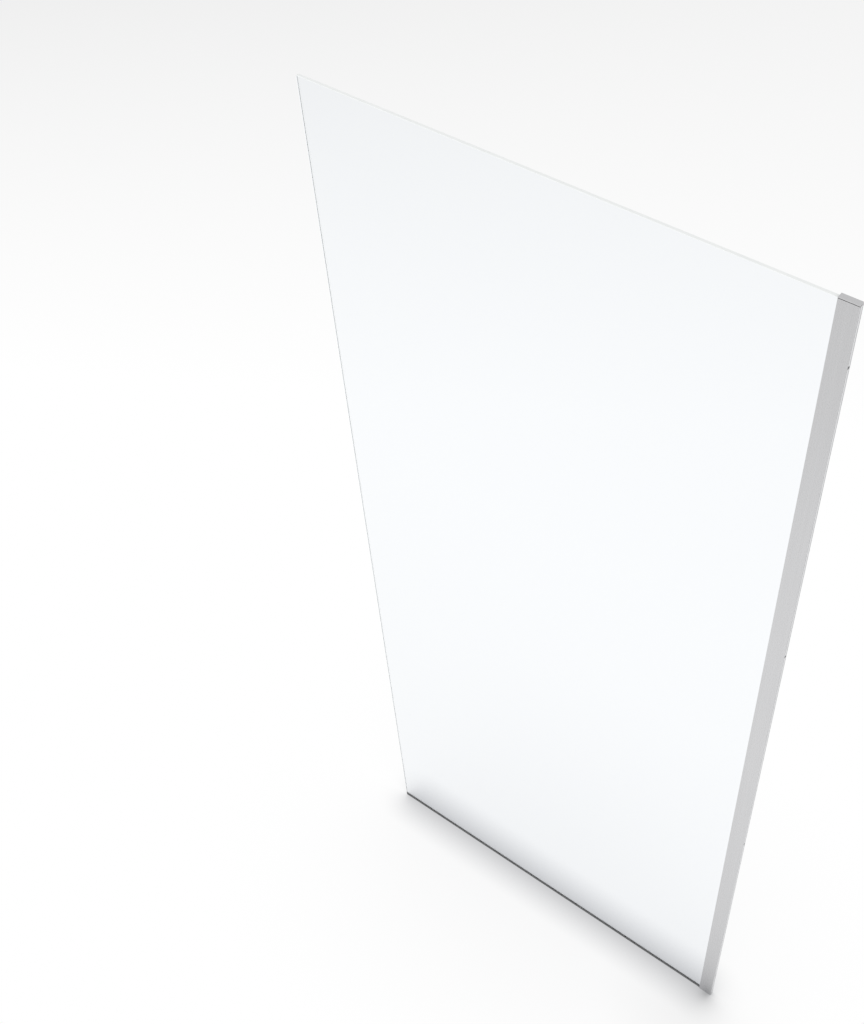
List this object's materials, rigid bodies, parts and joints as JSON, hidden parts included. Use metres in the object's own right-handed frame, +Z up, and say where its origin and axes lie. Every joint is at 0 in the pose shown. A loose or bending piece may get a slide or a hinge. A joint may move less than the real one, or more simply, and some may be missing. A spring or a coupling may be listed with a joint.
{
  "type": "shower screen",
  "caption": "Fixed frameless shower screen: a clear glass panel held along one edge in a slim satin aluminium wall channel, with a dark sealing strip along its foot.",
  "frame": {"origin": "on the floor, under the middle of the whole screen", "axes": "+X along the panel from its free edge to the wall, -Y the side that faces the room, +Z up"},
  "size_m": [0.9, 0.01, 2],
  "materials": {
    "clear_glass": "polished",
    "satin_aluminium": "satin anodised",
    "silver_plastic": "satin",
    "gasket_rubber": "matte",
    "seal_rubber": "matte",
    "block_plastic": "moulded"
  },
  "bodies": {
    "root": {"glass_panel": "clear_glass", "wall_profile": "satin_aluminium", "top_cap": "silver_plastic", "front_gasket": "gasket_rubber", "back_gasket": "gasket_rubber", "bottom_seal": "seal_rubber", "setting_block": "block_plastic", "edge_packer_1": "block_plastic", "edge_packer_2": "block_plastic", "edge_packer_3": "block_plastic"}
  },
  "joints": []
}
